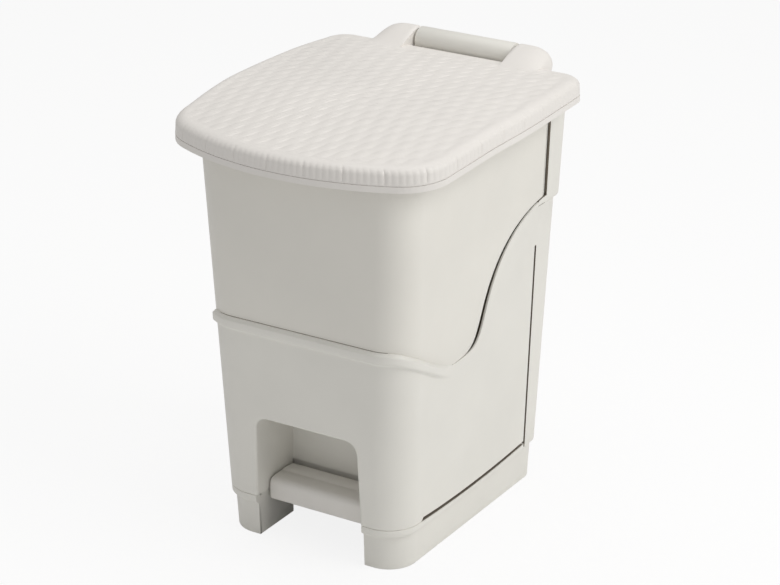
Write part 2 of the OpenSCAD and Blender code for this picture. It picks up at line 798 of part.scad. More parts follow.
// Pedal lever: runs under the deck from the tread to the rod
lever_front_z = 38;
module pedal_lever() {
    heel_y = niche_back_y - 4;
    color(grey_plastic) placed() difference() {
        union() {
            rotate([90, 0, 90]) translate([0, 0, -lever_w / 2]) linear_extrude(lever_w) polygon([
                [-tread_front_y + 8, lever_front_z], [-tread_front_y + 8, lever_front_z + lever_t],
                [heel_y, lever_front_z + lever_t], [pivot_y - 4, pivot_z + 9],
                [pivot_y + 4, pivot_z + 9], [pivot_y + 22, pivot_z + lever_t / 2 - 1],
                [rod_y, toe_z + lever_t / 2 - 0.6], [rod_y, toe_z - lever_t / 2],
                [pivot_y + 22, pivot_z - lever_t / 2 - 1], [pivot_y, pivot_z - 9],
                [heel_y, lever_front_z]]);
            translate([0, rod_y, toe_z]) rotate([0, 90, 0])
                cylinder(r = lever_t / 2, h = lever_w, center = true);
        }
        translate([0, pivot_y, pivot_z]) rotate([0, 90, 0])
            cylinder(r = pivot_r + run_gap, h = 2 * lever_w, center = true);
        for (p = tread_screws) translate([p[0], p[1], lever_front_z - 1])
            cylinder(r = screw_r + boss_gap, h = lever_t + 2);
    }
}
module pedal_screws() {
    color(steel) placed() for (p = tread_screws)
        translate([p[0], p[1], lever_front_z]) rotate([180, 0, 0]) screw();
}

// Lift rod with its jog, foot and head
module lift_rod() {
    z1 = head_top - head_plate_h / 2;
    jog_l = sqrt(pow(rod_top_y - rod_y, 2) + jog_h * jog_h);
    jog_a = atan2(rod_top_y - rod_y, jog_h);
    bend_swell = 0.04;
    color(steel) placed() union() {
        translate([0, rod_y, foot_z + 4]) cylinder(r = rod_r, h = jog_z - foot_z - 4);
        translate([0, rod_y, jog_z]) sphere(r = rod_r + bend_swell);
        translate([0, rod_y, jog_z]) rotate([-jog_a, 0, 0]) cylinder(r = rod_r, h = jog_l);
        translate([0, rod_top_y, jog_z + jog_h]) sphere(r = rod_r + bend_swell);
        translate([0, rod_top_y, jog_z + jog_h]) cylinder(r = rod_r, h = z1 - jog_z - jog_h);
    }
}
module rod_foot() {
    color(grey_plastic) placed() translate([0, rod_y, foot_z]) difference() {
        cylinder(r = foot_r, h = foot_h_rod);
        translate([0, 0, 4]) cylinder(r = rod_r, h = foot_h_rod);
    }
}
module rod_head() {
    color(grey_plastic) placed() translate([0, rod_top_y, head_top]) difference() {
        union() {
            translate([-5, -6, -head_plate_h]) cube([10, 10.5, head_plate_h]);
            translate([0, 0, -head_plate_h - 5]) cylinder(r = rod_r + 1.5, h = 6);
        }
        translate([0, 0, -head_plate_h - 6]) cylinder(r = rod_r, h = head_plate_h / 2 + 6);
    }
}

// Screws that hold the fixed parts together
module frame_screws() {
    color(steel) placed() {
        for (p = column_screws) translate([p[0], p[1], base_top + flange_t]) screw();
        for (p = hinge_screws) translate([p[0], p[1], roof_z + flange_t]) screw();
        for (z = guide_heights) for (s = [-1, 1])
            translate([s * guide_screw_x, guide_face_y - guide_tab, z]) rotate([90, 0, 0]) screw();
        for (s = [-1, 1]) for (d = [-8, 8])
            translate([s * (bearing_x + bearing_w / 2), pivot_y + d, pivot_z - 6])
                rotate([180, 0, 0]) screw();
    }
}

base_frame();
front_shell();
rear_column();
column_cover();
bucket();
lid_cover();
lid_tray();
lid_screws();
hinge_block();
hinge_pin_left();
hinge_pin_right();
pedal_tread();
pedal_lever();
pedal_screws();
pivot_pin();
pivot_cap_left();
pivot_cap_right();
lift_rod();
rod_foot();
rod_head();
rod_guide_lower();
rod_guide_upper();
frame_screws();
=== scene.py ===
"""Pedal nappy bin: finish, woven lid and soft-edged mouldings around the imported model.

Metres, +Z up, the pedal faces -Y. Lengths below are the part's own sizes in millimetres. place() scales
them by MM and moves them back by CENTRE_Y, to the middle of the whole object's depth.
"""
import json
import math

import bpy
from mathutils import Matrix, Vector


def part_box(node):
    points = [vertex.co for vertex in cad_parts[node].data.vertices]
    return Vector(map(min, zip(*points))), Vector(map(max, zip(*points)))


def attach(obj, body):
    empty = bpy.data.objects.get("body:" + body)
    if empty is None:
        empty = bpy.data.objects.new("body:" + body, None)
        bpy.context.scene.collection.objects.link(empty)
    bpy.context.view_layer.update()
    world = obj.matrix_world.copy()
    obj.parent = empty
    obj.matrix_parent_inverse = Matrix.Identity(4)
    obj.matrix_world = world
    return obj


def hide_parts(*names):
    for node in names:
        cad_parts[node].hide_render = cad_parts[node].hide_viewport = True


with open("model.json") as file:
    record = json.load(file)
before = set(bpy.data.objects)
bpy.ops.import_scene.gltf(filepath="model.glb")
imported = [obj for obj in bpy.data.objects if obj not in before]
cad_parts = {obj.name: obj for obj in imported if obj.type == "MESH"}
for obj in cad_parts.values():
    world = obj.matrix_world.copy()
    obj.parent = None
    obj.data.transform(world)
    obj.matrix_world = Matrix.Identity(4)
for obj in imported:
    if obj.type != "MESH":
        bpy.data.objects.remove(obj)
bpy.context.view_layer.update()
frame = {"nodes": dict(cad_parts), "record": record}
nodes = frame["nodes"]
MM = 0.001

CENTRE_Y = 7.0
FAR = 300.0
SMOOTH_ANGLE = math.radians(38)

# Casing plan, as sizes at the floor and flares per unit of height
BASE_HALF = 106.0
BASE_FRONT = 137.0
BASE_REAR = 140.0
FLARE_SIDE = 0.0385
FLARE_FRONT = 0.0455
FLARE_REAR = 0.0415
FRONT_R = 34.0
REAR_R = 20.0
WALL = 2.6
NEST = 6.6


def half_x(z):
    return BASE_HALF + FLARE_SIDE * z


def front_y(z):
    return -(BASE_FRONT + FLARE_FRONT * z)


# Sizes of the front shell's lower edge, the slits beside and under it, its lip band and its curved edge
SHELL_LOW = 46.0
SHELL_END_Y = 107.0
SHELL_EDGE_R = 0.9
SLIT = 3.4
SLIT_TOP = 270.0
SLIT_SAG = 3.6
LIP_Z = 240.0
LIP_H = 14.0
LIP_OUT = 4.0
LIP_REACH = 46.0
BAND_H = 16.5
DIP_Z = 197.5
RISE_Y = 6.0
KINK_Y = 117.2
KINK_Z = 318.5
CURVE_GAP = 3.4
SHELL_SHIFT = 4.4

# Sizes of the pedal niche
NICHE_W = 124.0
NICHE_TOP_W = 117.0
NICHE_H = 135.0
NICHE_R = 13.0
NICHE_BACK = -75.0
NICHE_FILLET = 3.0
LINER_WALL = 0.8 * WALL
TREAD_Z = 60.0


def bezier(points, t):
    a, b, c, d = points
    return (1 - t) ** 3 * a + 3 * (1 - t) ** 2 * t * b + 3 * (1 - t) * t * t * c + t ** 3 * d


def edge_curve():
    """The shell's curved upper edge, as (depth, height) pairs."""
    start = front_y(LIP_Z) + 2
    dip = -LIP_REACH - 6
    rise_z = (DIP_Z + KINK_Z) / 2 - 22
    spans = (
        ((start, start + 26, dip - 28, dip), (LIP_Z, LIP_Z - 11, DIP_Z + 3, DIP_Z)),
        ((dip, dip + 42, RISE_Y - 14, RISE_Y), (DIP_Z, DIP_Z, DIP_Z + 2.5, rise_z)),
        ((RISE_Y, RISE_Y + 22, KINK_Y - 47, KINK_Y), (rise_z, rise_z + 55, KINK_Z - 6, KINK_Z)),
    )
    steps = 60
    curve = []
    for ys, zs in spans:
        curve += [(bezier(ys, i / steps), bezier(zs, i / steps)) for i in range(steps + 1)]
    return curve


EDGE = edge_curve()


def edge_z(y, shift=0.0):
    """Height of the curved edge at depth y, with the curve moved by shift along y."""
    y -= shift
    if y <= EDGE[0][0]:
        return LIP_Z
    for (y0, z0), (y1, z1) in zip(EDGE, EDGE[1:]):
        if y0 <= y <= y1 and y1 > y0:
            return z0 + (z1 - z0) * (y - y0) / (y1 - y0)
    return KINK_Z


def smooth(a, b, t):
    t = min(max((t - a) / (b - a), 0.0), 1.0)
    return t * t * (3 - 2 * t)


def place(point):
    return Vector((point[0] * MM, (point[1] + CENTRE_Y) * MM, point[2] * MM))


def new_mesh(name, points, faces):
    mesh = bpy.data.meshes.new(name)
    mesh.from_pydata([place(p) for p in points], [], faces)
    mesh.validate()
    obj = bpy.data.objects.new(name, mesh)
    bpy.context.scene.collection.objects.link(obj)
    shade(obj)
    return obj


def select(obj, others=()):
    """Selects obj and the others, with obj as the active one."""
    bpy.ops.object.select_all(action="DESELECT")
    for each in (*others, obj):
        each.select_set(True)
    bpy.context.view_layer.objects.active = obj


def shade(obj):
    """Smooth faces, with edges sharper than the angle kept."""
    select(obj)
    bpy.ops.object.shade_smooth_by_angle(angle=SMOOTH_ANGLE)


def loft(name, rings, closed=True, capped=True, looped=False):
    """A surface through rings of equal length. looped joins the last ring to the first."""
    count = len(rings[0])
    points = [p for ring in rings for p in ring]
    faces = []
    last = len(rings) if looped else len(rings) - 1
    for i in range(last):
        j = (i + 1) % len(rings)
        for k in range(count if closed else count - 1):
            m = (k + 1) % count
            faces.append((i * count + k, i * count + m, j * count + m, j * count + k))
    if capped and closed and not looped:
        faces.append(tuple(range(count - 1, -1, -1)))
        top = (len(rings) - 1) * count
        faces.append(tuple(range(top, top + count)))
    if capped and not closed and looped:
        faces.append(tuple(i * count for i in range(len(rings))))
        faces.append(tuple(i * count + count - 1 for i in range(len(rings) - 1, -1, -1)))
    return new_mesh(name, points, faces)


def solid(name, rings, **ends):
    """A lofted form with its faces turned outwards."""
    obj = loft(name, rings, **ends)
    select(obj)
    bpy.ops.object.mode_set(mode="EDIT")
    bpy.ops.mesh.select_all(action="SELECT")
    bpy.ops.mesh.normals_make_consistent(inside=False)
    bpy.ops.object.mode_set(mode="OBJECT")
    return obj


def prism(name, outline, y0, y1):
    """Outline of (x, z) pairs drawn out along y."""
    return solid(name, [[(x, y, z) for x, z in outline] for y in (y0, y1)])


def side_prism(name, outline, x0, x1):
    """Outline of (y, z) pairs drawn out along x."""
    return solid(name, [[(x, y, z) for y, z in outline] for x in (x0, x1)])


def box_mesh(name, low, high):
    outline = [(low[0], low[2]), (low[0], high[2]), (high[0], high[2]), (high[0], low[2])]
    return prism(name, outline, low[1], high[1])


def soft_box(name, low, high, r):
    """Box with rounded upright edges and eased ends."""
    corners = ((high[0] - r, high[1] - r, 0), (low[0] + r, high[1] - r, 90),
               (low[0] + r, low[1] + r, 180), (high[0] - r, low[1] + r, 270))
    steps = 4

    def ring(z, inset):
        points = []
        for cx, cy, start in corners:
            for i in range(steps + 1):
                a = math.radians(start + 90 * i / steps)
                points.append((cx + (r - inset) * math.cos(a), cy + (r - inset) * math.sin(a), z))
        return points

    ease = 0.4 * r
    return solid(name, [ring(low[2], ease), ring(low[2] + ease, 0),
                        ring(high[2] - ease, 0), ring(high[2], ease)])


def rod_mesh(name, r, start, end):
    """Round rod between two points."""
    sides = 32
    a, b = Vector(start), Vector(end)
    along = (b - a).normalized()
    across = along.orthogonal().normalized()
    up = along.cross(across)
    rings = []
    for centre in (a, b):
        ring = []
        for i in range(sides):
            t = 2 * math.pi * i / sides
            ring.append(tuple(centre + across * (r * math.cos(t)) + up * (r * math.sin(t))))
        rings.append(ring)
    return solid(name, rings)


def apply_modifiers(obj):
    bpy.context.view_layer.update()
    evaluated = obj.evaluated_get(bpy.context.evaluated_depsgraph_get())
    mesh = bpy.data.meshes.new_from_object(evaluated)
    obj.modifiers.clear()
    obj.data = mesh


def cut(obj, cutter):
    """Takes the cutter out of obj and removes the cutter."""
    modifier = obj.modifiers.new("cut", "BOOLEAN")
    modifier.operation = "DIFFERENCE"
    modifier.object = cutter
    modifier.solver = "EXACT"
    apply_modifiers(obj)
    bpy.data.objects.remove(cutter)


def drill(obj, r, start, end):
    cut(obj, rod_mesh("drill", r, start, end))


def join(target, others):
    select(target, others)
    bpy.ops.object.join()


# Plan of the casing: the same count of points at every height

SETTLED_Y = -60.0
SIDE_START_Y = front_y(LIP_Z) + FRONT_R + 3


def half_plan(z, inset, side_ys):
    """Right half of the casing's plan, from the middle of the front to the last of side_ys."""
    steps = 14
    front_steps = 16
    hx, fy = half_x(z), front_y(z)
    straight = hx - FRONT_R
    points = [(straight * i / front_steps, fy + inset) for i in range(front_steps)]
    r = FRONT_R - inset
    for i in range(steps + 1):
        a = math.pi / 2 * i / steps
        points.append((straight + r * math.sin(a), fy + FRONT_R - r * math.cos(a)))
    points += [(hx - inset, settle(y, z)) for y in side_ys]
    return points


def settle(y, z):
    """Depth of a side column at height z: those ahead of SETTLED_Y follow the front corner."""
    if y >= SETTLED_Y:
        return y
    start = front_y(LIP_Z) + FRONT_R
    here = front_y(z) + FRONT_R
    return here + (y - start) * (SETTLED_Y - here) / (SETTLED_Y - start)


def side_span(last, marks):
    """Evenly spaced depths along the side, from behind the front corner to last."""
    return [SIDE_START_Y + (last - SIDE_START_Y) * i / marks for i in range(marks + 1)]


def mirrored(half):
    """Whole open outline from its right half, left end first."""
    return [(-x, y) for x, y in reversed(half[1:])] + half


# Front shell

def lip_offset(drop, y):
    """How far the lip band stands out, by its distance below the edge."""
    fade = 1 - smooth(-LIP_REACH - 50, -LIP_REACH - 2, y)
    top = 0.35 + 0.65 * smooth(-0.5, 2.4, drop)
    return LIP_OUT * fade * top * (1 - smooth(LIP_H - 4.5, LIP_H, drop))


def sag(y):
    """How far the slit over the base hangs down along the side."""
    return SLIT_SAG * max(1 - (y / SHELL_END_Y) ** 2, 0.0)


def shell_columns():
    """Depths of the side's columns, closer together where the edge turns."""
    marks = []
    y = SIDE_START_Y
    while y < SHELL_END_Y - 1:
        marks.append(y)
        steep = smooth(-30, -12, y) * (1 - smooth(28, 60, y))
        y += 3.0 - 2.2 * steep
    return marks + [SHELL_END_Y - 0.6, SHELL_END_Y]


def shell_rings():
    """Rings along the open plan: up the outside, over the rolled edge and down the inside."""
    side_ys = shell_columns()
    reference = mirrored(half_plan(LIP_Z, 0, side_ys))
    corner_y = front_y(SHELL_LOW) + FRONT_R
    tops = [edge_z(y, SHELL_SHIFT) for x, y in reference]
    lows = [SHELL_LOW if y < corner_y else SHELL_LOW + SLIT - sag(y) for x, y in reference]

    def ring(heights, inset_of):
        points = []
        for k, z in enumerate(heights):
            x, y = mirrored(half_plan(z, inset_of(k, z), side_ys))[k]
            points.append((x, y, z))
        return points

    def below_top(drop):
        return [top - drop for top in tops]

    def lip(k, z):
        return -lip_offset(tops[k] - SHELL_EDGE_R - z, reference[k][1])

    rings = []
    body_rows = 26
    for i in range(body_rows + 1):
        t = i / body_rows
        heights = [low + SHELL_EDGE_R * (1 - t) + (top - BAND_H - low) * t
                   for low, top in zip(lows, tops)]
        rings.append(ring(heights, lambda k, z: 0.0))
    for drop in (15.5, 14, 13, 12, 10.8, 9.5, 7, 4, 2.4, 1.6, 0.9, 0.4, 0):
        rings.append(ring(below_top(SHELL_EDGE_R + drop), lip))
    turns = [math.pi / 2 * i / 3 for i in range(4)]
    for a in turns[1:]:
        inset = SHELL_EDGE_R * (1 - math.cos(a))
        rings.append(ring(below_top(SHELL_EDGE_R * (1 - math.sin(a))),
                          lambda k, z: inset - lip_offset(0, reference[k][1])))
    for a in turns[:3]:
        rings.append(ring(below_top(SHELL_EDGE_R * (1 - math.cos(a))),
                          lambda k, z: WALL - SHELL_EDGE_R * (1 - math.sin(a))))
    for t in (1, 0.66, 0.33, 0):
        heights = [low + SHELL_EDGE_R + (top - 2 * SHELL_EDGE_R - low) * t
                   for low, top in zip(lows, tops)]
        rings.append(ring(heights, lambda k, z: WALL))
    rings.append(ring(lows, lambda k, z: WALL - SHELL_EDGE_R))
    rings.append(ring(lows, lambda k, z: SHELL_EDGE_R))
    return rings


def front_shell():
    shell = solid("front_shell_moulding", shell_rings(), closed=False, looped=True)
    cut(shell, prism("niche_cut", niche_outline(NICHE_FILLET), -FAR, NICHE_BACK + 20))
    cut(shell, box_mesh("slit_cut", (-FAR, SHELL_END_Y - SLIT, 0), (FAR, FAR, SLIT_TOP)))
    join(shell, [niche_liner()])
    return shell


def niche_outline(grow, low=-10.0):
    """Arch of the niche seen from the front, from its lower left corner round to the right."""
    top = NICHE_H + grow
    r = NICHE_R + grow
    half_low = NICHE_W / 2 + grow
    half_top = NICHE_TOP_W / 2 + grow
    lean = math.atan2((NICHE_W - NICHE_TOP_W) / 2, NICHE_H - NICHE_R)
    slope = (half_top - half_low) / (top - r)
    points = []
    rows = 14
    for i in range(rows + 1):
        z = low + (top - r - low) * i / rows
        points.append((half_low + slope * z, z))
    steps = 12
    for i in range(1, steps + 1):
        a = lean + (math.pi / 2 - lean) * i / steps
        points.append((half_top - r + r * math.cos(a), top - r + r * math.sin(a)))
    count = 12
    width = half_top - r
    points += [(width * (1 - i / count), top) for i in range(1, count)]
    left = [(-x, z) for x, z in points]
    return left + [(0, top)] + points[::-1]


def niche_liner():
    """Rolled edge, side walls, roof and back wall of the niche."""
    rings = []
    steps = 5
    low = SHELL_LOW + 0.3
    for i in range(steps + 1):
        a = math.pi / 2 * i / steps
        grow = NICHE_FILLET * (1 - math.sin(a))
        depth = NICHE_FILLET * (1 - math.cos(a))
        rings.append([(x, front_y(z) + depth, z) for x, z in niche_outline(grow, low)])
    for t in (0.3, 0.6, 0.85, 1.0):
        ring = []
        for x, z in niche_outline(0, low):
            start = front_y(z) + NICHE_FILLET
            ring.append((x, start + (NICHE_BACK - start) * t, z))
        rings.append(ring)
    liner = loft("niche_liner", rings, closed=False, capped=False)
    back = niche_outline(0, TREAD_Z + 2)
    wall = new_mesh("niche_back", [(x, NICHE_BACK, z) for x, z in back], [tuple(range(len(back)))])
    join(liner, [wall])
    thick = liner.modifiers.new("wall", "SOLIDIFY")
    thick.thickness = LINER_WALL * MM
    thick.offset = 1
    apply_modifiers(liner)
    return liner


# Bucket

BUCKET_FLOOR = 52.8
BUCKET_REAR = 118.6
BUCKET_HEEL = 110.0
HEEL_RISE = 266.0
BUCKET_BACK_R = 5.0
LOWER_H = 130.0
STEP_PLAY = 0.8
SKIRT_LIFT = 1.1
RIM_Z = 427.0
RIM_H = 8.0


def bucket_plan(z, inset):
    """Closed plan of the bucket with a nearly square back."""
    rear = BUCKET_HEEL + (BUCKET_REAR - BUCKET_HEEL) * min(1, (z - BUCKET_FLOOR) / HEEL_RISE)
    half = half_plan(z, inset, side_span(rear - BUCKET_BACK_R, 64))
    r = max(BUCKET_BACK_R - inset, 0.8)
    corner_x = half_x(z) - inset - r
    for i in range(1, 7):
        a = math.pi / 2 * i / 6
        half.append((corner_x + r * math.cos(a), rear - inset - r + r * math.sin(a)))
    for i in range(1, 8):
        half.append((corner_x * (1 - i / 8), rear - inset))
    return mirrored(half) + [(0.0, rear - inset)]


def bucket_level(z, inset):
    return [(x, y, z) for x, y in bucket_plan(z, inset)]


def bucket_skirt(rise, inset):
    """Ring that follows the lower edge of the bucket's wide upper part."""
    points = []
    for k, (_, ref_y) in enumerate(bucket_plan(KINK_Z, 0)):
        z = max(edge_z(ref_y, -CURVE_GAP), edge_z(ref_y))
        z += SKIRT_LIFT * smooth(-62, -34, ref_y) - 0.3 + rise
        if ref_y > BUCKET_REAR - 3:
            z = KINK_Z + 0.8 + rise
        x, y = bucket_plan(z, inset)[k]
        points.append((x, y, z))
    return points


def bucket_rise(start, inset, top, steps):
    """Rings from the ring start up to the level top."""
    rings = []
    for i in range(1, steps + 1):
        ring = []
        for k, (_, _, low) in enumerate(start):
            z = low + (top - low) * i / steps
            x, y = bucket_plan(z, inset)[k]
            ring.append((x, y, z))
        rings.append(ring)
    return rings


def lower_levels(inset):
    return [bucket_level(BUCKET_FLOOR + LOWER_H * i / 4, inset) for i in range(1, 5)]


def cut_step(obj, wall):
    """Cuts the niche's room out of obj, larger by wall at the back and at the top."""
    back = NICHE_BACK + WALL + STEP_PLAY + wall
    top = NICHE_H + WALL + STEP_PLAY + wall
    cut(obj, box_mesh("step", (-FAR, -FAR, 0), (FAR, back, top)))


def bucket_hollow():
    floor = BUCKET_FLOOR + WALL
    rings = [bucket_level(floor, NEST + WALL + 3), bucket_level(floor + 3, NEST + WALL)]
    rings += lower_levels(NEST + WALL)
    rings += [bucket_skirt(WALL, NEST + WALL), bucket_skirt(WALL + 0.3, WALL + 0.5)]
    start = bucket_skirt(WALL + 0.9, WALL)
    rings += [start] + bucket_rise(start, WALL, RIM_Z - 4, 8)
    rings += [bucket_level(RIM_Z - 0.3, WALL - 0.6), bucket_level(RIM_Z + 1, WALL - 1.4)]
    hollow = solid("bucket_hollow", rings)
    cut_step(hollow, WALL)
    return hollow


def bucket():
    rings = [bucket_level(BUCKET_FLOOR, NEST + 1.5), bucket_level(BUCKET_FLOOR + 1.5, NEST)]
    rings += lower_levels(NEST)
    rings += [bucket_skirt(0, NEST), bucket_skirt(0, 0.9), bucket_skirt(0.25, 0.25)]
    start = bucket_skirt(0.9, 0)
    rings += [start] + bucket_rise(start, 0, RIM_Z - RIM_H - 4, 14)
    rim = ((-4, 0), (-1.2, -0.3), (0, -2.4), (1.2, -3.7), (3, -4), (6.4, -4), (7.5, -3.4), (8, -2))
    rings += [bucket_level(RIM_Z - RIM_H + dz, inset) for dz, inset in rim]
    pail = solid("bucket_moulding", rings)
    cut_step(pail, 0)
    cut(pail, bucket_hollow())
    return pail


# Base frame

BASE_H = 46.0
BASE_TOP = 52.5
FOOT_INSET = 4.0
FOOT_H = 36.0
SHOULDER_H = 3.0
PIVOT_Y = -9.0
PIVOT_Z = 24.0
PIVOT_BORE_R = 3.05
BEARING_X = 15.0
BEARING_W = 10.0
BEARING_REACH = 12.0
SCREW_XS = (-72.0, -30.0, 30.0, 72.0)
SCREW_Y = 128.0
BOSS_R = 4.5
BOSS_H = 22.0
PILOT_R = 1.52
ROD_WAY_HALF = 17.0
ROD_WAY_REAR = 134.0
SAG_FROM_Y = -104.0
SAG_FULL_Y = -98.0


def closed_plan(z, inset, rear=None):
    """Closed plan of the casing with rounded back corners."""
    back = BASE_REAR + FLARE_REAR * z if rear is None else rear
    half = half_plan(z, inset, side_span(BASE_REAR - REAR_R, 30))
    corner_x = half_x(z) - REAR_R
    r = REAR_R - inset
    for i in range(1, 13):
        a = math.pi / 2 * i / 12
        half.append((corner_x + r * math.cos(a), back - REAR_R + r * math.sin(a)))
    for i in range(1, 10):
        half.append((corner_x * (1 - i / 10), back - inset))
    return mirrored(half) + [(0.0, back - inset)]


def base_level(z, inset):
    return [(x, y, z) for x, y in closed_plan(z, inset)]


def base_shoulder(z, inset):
    """The shoulder ends where the column's skirt begins."""
    points = []
    inner = closed_plan(z, FOOT_INSET)
    for k, (x, y) in enumerate(closed_plan(z, inset)):
        t = smooth(SHELL_END_Y - 0.6, SHELL_END_Y + 0.6, y)
        ix, iy = inner[k]
        points.append((x + (ix - x) * t, y + (iy - y) * t, z))
    return points


def sagging(ring):
    """The ring lowered along the sides as the slit over the base hangs."""
    return [(x, y, z - sag(y) * smooth(SAG_FROM_Y, SAG_FULL_Y, y)) for x, y, z in ring]


def base_hollow():
    inner = FOOT_INSET + WALL
    roof = BASE_TOP - WALL
    ledge = BASE_H - WALL
    levels = ((-1, inner), (ledge - 0.8, inner), (ledge, inner + 0.8), (ledge + 0.1, NEST + WALL),
              (roof - 0.8, NEST + WALL), (roof, NEST + WALL + 0.8))
    return solid("hollow", [base_level(z, inset) for z, inset in levels])


def cut_base(base):
    """The base's hollow, the pedal opening and the way for the lift rod."""
    cut(base, base_hollow())
    half = NICHE_W / 2
    wide = half + NEST
    cut(base, box_mesh("niche", (-half, -FAR, -5), (half, NICHE_BACK + WALL, FAR)))
    cut(base, box_mesh("niche_top", (-wide, -FAR, BASE_H), (wide, NICHE_BACK + NEST, FAR)))
    cut(base, box_mesh("rod_way", (-ROD_WAY_HALF, SHELL_END_Y + 2, -5),
                       (ROD_WAY_HALF, ROD_WAY_REAR, FAR)))


def jamb(side):
    half = NICHE_W / 2
    low_x = min(side * half, side * (half + WALL))
    return box_mesh("jamb", (low_x, front_y(0) + 5, 0.2), (low_x + WALL, NICHE_BACK + WALL, BASE_H))


def bearing(side):
    low_x = min(side * BEARING_X, side * (BEARING_X + BEARING_W))
    high_x = low_x + BEARING_W
    top = BASE_TOP - WALL + 0.5
    block = box_mesh("bearing", (low_x, PIVOT_Y - BEARING_REACH, PIVOT_Z),
                     (high_x, PIVOT_Y + BEARING_REACH, top))
    drill(block, PIVOT_BORE_R, (low_x - 1, PIVOT_Y, PIVOT_Z), (high_x + 1, PIVOT_Y, PIVOT_Z))
    return block


def base_boss(x):
    low = BASE_TOP - BOSS_H
    boss = rod_mesh("boss", BOSS_R, (x, SCREW_Y, low), (x, SCREW_Y, BASE_TOP - 0.2))
    drill(boss, PILOT_R, (x, SCREW_Y, low - 8), (x, SCREW_Y, BASE_TOP + 5))
    return boss


def base_frame():
    rings = [base_level(0, FOOT_INSET + 1), base_level(0.4, FOOT_INSET + 0.3)]
    rings.append(base_level(1.2, FOOT_INSET))
    rings += [base_level(FOOT_H * i / 5, FOOT_INSET) for i in range(1, 5)]
    rings += [base_level(FOOT_H - 0.8, FOOT_INSET), base_shoulder(FOOT_H + 0.2, FOOT_INSET - 0.4)]
    rings.append(base_shoulder(FOOT_H + SHOULDER_H - 0.5, 0.5))
    rings.append(base_shoulder(FOOT_H + SHOULDER_H + 0.5, 0))
    for dz, inset in ((-0.8, 0), (-0.2, 0.3), (0, 1.0)):
        rings.append(sagging(base_shoulder(BASE_H + dz, inset)))
    rings.append(sagging(base_level(BASE_H + 0.01, NEST)))
    rings += [base_level(BASE_TOP - 0.6, NEST), base_level(BASE_TOP, NEST + 0.7)]
    base = solid("base_frame_moulding", rings)
    cut_base(base)
    extras = []
    for side in (-1, 1):
        extras += [jamb(side), bearing(side)]
    join(base, extras + [base_boss(x) for x in SCREW_XS])
    return base


# Rear column and hinge block

ROOF_Z = 406.0
SKIRT_Z = 42.0
HOUSING_Z = 312.0
HOUSING_OUT = 10.5
COLUMN_FRONT_Y = 123.0
COVER_Y = 120.4
DECK_HALF = 99.0
ROD_Y = 127.0
ROD_TOP_Y = 144.5
FOOT_WAY_R = 5.3
TOP_WAY_R = 2.6
GUIDE_ZS = (94.0, 290.0)
GUIDE_X = 16.0
GUIDE_FACE_Y = 132.5
HINGE_Y = 166.0
HINGE_Z = 443.0
HINGE_XS = (-42.0, -20.0, 20.0, 42.0)
HINGE_SCREW_Y = 150.0
ROOF_BOSS_H = 12.0
ROOF_DRILL = 9.0
FLANGE = 3.0
BARREL_R = 13.0
BARREL_HALF = 56.0
BARREL_SIDES = 64
PIN_START = 17.0
PIN_WAY_R = 3.02
NECK_FRONT = 8.0
NECK_BACK = 4.0
PLATE_FRONT = 21.0
PLATE_BACK = 2.0
NOTCH_HALF = 11.0
NOTCH_FRONT = 30.0
NOTCH_H = 29.0
BLOCK_R = 1.5


def column_level(z, inset, out=0.0):
    rear = BASE_REAR + FLARE_REAR * z + out
    return [(x, y, z) for x, y in closed_plan(z, inset, rear)]


def column_rings():
    low = SKIRT_Z + 1
    high = HOUSING_Z + 2
    rings = [column_level(SKIRT_Z, 1.0), column_level(SKIRT_Z + 0.3, 0.3), column_level(low, 0)]
    rings += [column_level(low + (HOUSING_Z - SKIRT_Z - 2) * i / 8, 0) for i in range(1, 9)]
    rings += [column_level(HOUSING_Z - 0.2, -0.3, 0.5), column_level(HOUSING_Z, 0, HOUSING_OUT - 1.5)]
    rings.append(column_level(HOUSING_Z + 0.5, 0, HOUSING_OUT - 0.4))
    rings.append(column_level(HOUSING_Z + 1.6, 0, HOUSING_OUT))
    rings += [column_level(high + (ROOF_Z - HOUSING_Z - 4) * i / 4, 0, HOUSING_OUT) for i in range(1, 5)]
    rings += [column_level(ROOF_Z - 0.6, 0.2, HOUSING_OUT), column_level(ROOF_Z, 1.0, HOUSING_OUT)]
    return rings


def open_column(column):
    """The column's hollow, its open front and its edge along the bucket."""
    inside = [column_level(SKIRT_Z - 1, WALL), column_level(HOUSING_Z + WALL - 0.5, WALL)]
    inside.append(column_level(HOUSING_Z + WALL, WALL, HOUSING_OUT))
    inside.append(column_level(ROOF_Z - 4, WALL, HOUSING_OUT))
    cut(column, solid("column_hollow", inside))
    cut(column, box_mesh("front", (-FAR, -FAR, 0), (FAR, SHELL_END_Y, 2 * FAR)))
    outline = [(y, edge_z(y)) for y in (90, 95, 100, 104, 107, 110, 113, 115, 116.5)]
    outline += [(COLUMN_FRONT_Y, KINK_Z), (COLUMN_FRONT_Y, 2 * FAR), (90, 2 * FAR)]
    cut(column, side_prism("bucket_side", outline, -FAR, FAR))


def column_deck():
    """Flange over the base's deck."""
    deck = box_mesh("deck", (-DECK_HALF, COVER_Y - 1, BASE_TOP),
                    (DECK_HALF, BASE_REAR + 1, BASE_TOP + FLANGE))
    low = BASE_TOP - 10
    high = BASE_TOP + 10
    for x in SCREW_XS:
        drill(deck, PILOT_R, (x, SCREW_Y, low), (x, SCREW_Y, high))
    drill(deck, FOOT_WAY_R, (0, ROD_Y, low), (0, ROD_Y, high))
    return deck


def guide_boss(x, z):
    back = BASE_REAR + FLARE_REAR * z - 1
    boss = rod_mesh("boss", BOSS_R, (x, GUIDE_FACE_Y, z), (x, back, z))
    drill(boss, PILOT_R, (x, GUIDE_FACE_Y - 5, z), (x, GUIDE_FACE_Y + 8, z))
    return boss


def drill_roof(obj, r, x, y):
    drill(obj, r, (x, y, ROOF_Z - ROOF_DRILL), (x, y, ROOF_Z + ROOF_DRILL))


